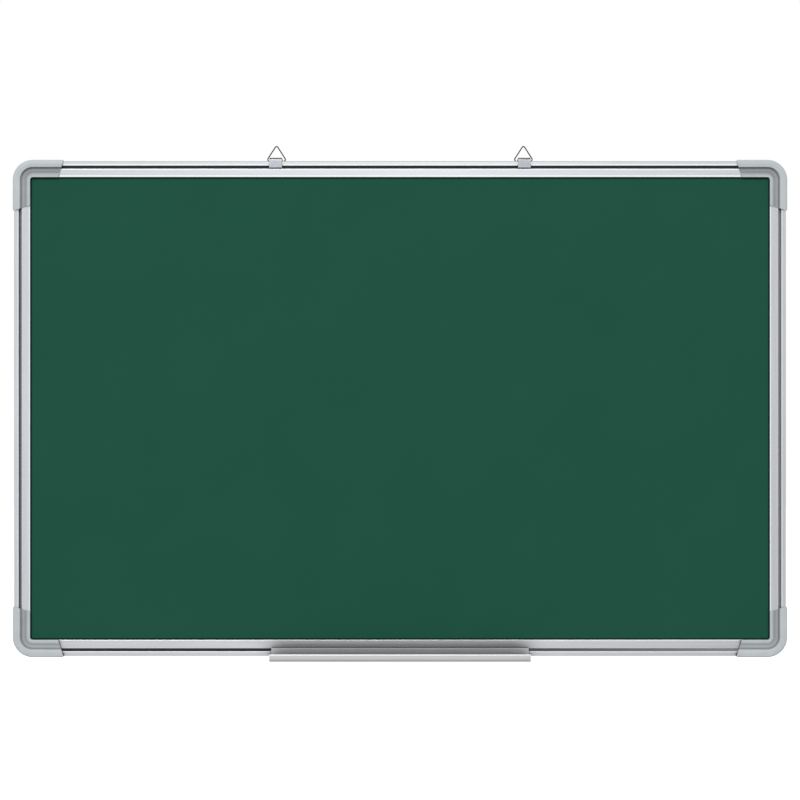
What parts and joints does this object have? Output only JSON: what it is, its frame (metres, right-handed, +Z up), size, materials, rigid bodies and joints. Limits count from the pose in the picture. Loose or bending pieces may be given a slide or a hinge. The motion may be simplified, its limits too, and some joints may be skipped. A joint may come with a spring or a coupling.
{
  "type": "chalkboard",
  "caption": "Wall-hung green chalkboard in a grooved aluminium frame with moulded corner caps, wire hangers that slide on the top rail and a chalk tray on the bottom rail.",
  "frame": {"origin": "middle of the board, on the wall that its corner caps' backs rest against", "axes": "+X to the right along the board, +Z up, and the writing side faces -Y"},
  "size_m": [0.9028, 0.0705, 0.5977],
  "materials": {
    "writing_surface": "matt green chalk enamel on steel sheet",
    "core": "paper honeycomb between the two sheets",
    "galvanised_steel": "galvanised steel backing sheet",
    "frame_aluminium": "natural anodised extrusion with fine lines along its length",
    "tray_aluminium": "natural anodised extrusion with fine lines along its length",
    "grey_plastic": "light grey moulded plastic, satin",
    "screw_steel": "bright zinc plate",
    "clip_steel": "bent strip with a dull zinc plate",
    "ring_wire": "bent wire, dark zinc plate"
  },
  "bodies": {
    "board": {"writing_sheet": "writing_surface", "core_board": "core", "backing_sheet": "galvanised_steel", "rail_top": "frame_aluminium", "rail_bottom": "frame_aluminium", "rail_left": "frame_aluminium", "rail_right": "frame_aluminium", "corner_cap_top_left": "grey_plastic", "corner_cap_top_right": "grey_plastic", "corner_cap_bottom_left": "grey_plastic", "corner_cap_bottom_right": "grey_plastic", "screw_top_left_side": "screw_steel", "screw_top_left_top": "screw_steel", "screw_top_right_top": "screw_steel", "screw_top_right_side": "screw_steel", "screw_bottom_left_bottom": "screw_steel", "screw_bottom_left_side": "screw_steel", "screw_bottom_right_side": "screw_steel", "screw_bottom_right_bottom": "screw_steel"},
    "tray": {"chalk_tray": "tray_aluminium"},
    "clip_left": {"hanger_clip_left": "clip_steel"},
    "ring_left": {"hanger_ring_left": "ring_wire"},
    "clip_right": {"hanger_clip_right": "clip_steel"},
    "ring_right": {"hanger_ring_right": "ring_wire"}
  },
  "joints": [
    {"name": "tray_slide", "type": "slide", "parent": "board", "child": "tray", "axis": [1, 0, 0], "range_m": [-0.2415, 0.2415]},
    {"name": "clip_left_slide", "type": "slide", "parent": "board", "child": "clip_left", "axis": [1, 0, 0], "range_m": [-0.236, 0.1325]},
    {"name": "clip_right_slide", "type": "slide", "parent": "board", "child": "clip_right", "axis": [1, 0, 0], "range_m": [-0.1325, 0.236]},
    {"name": "ring_left_hinge", "type": "hinge", "parent": "clip_left", "child": "ring_left", "pos_m": [-0.1444, -0.0029, 0.289], "axis": [-1, 0, 0], "range_deg": [0, 166]},
    {"name": "ring_right_hinge", "type": "hinge", "parent": "clip_right", "child": "ring_right", "pos_m": [0.1444, -0.0029, 0.289], "axis": [-1, 0, 0], "range_deg": [0, 166]}
  ]
}
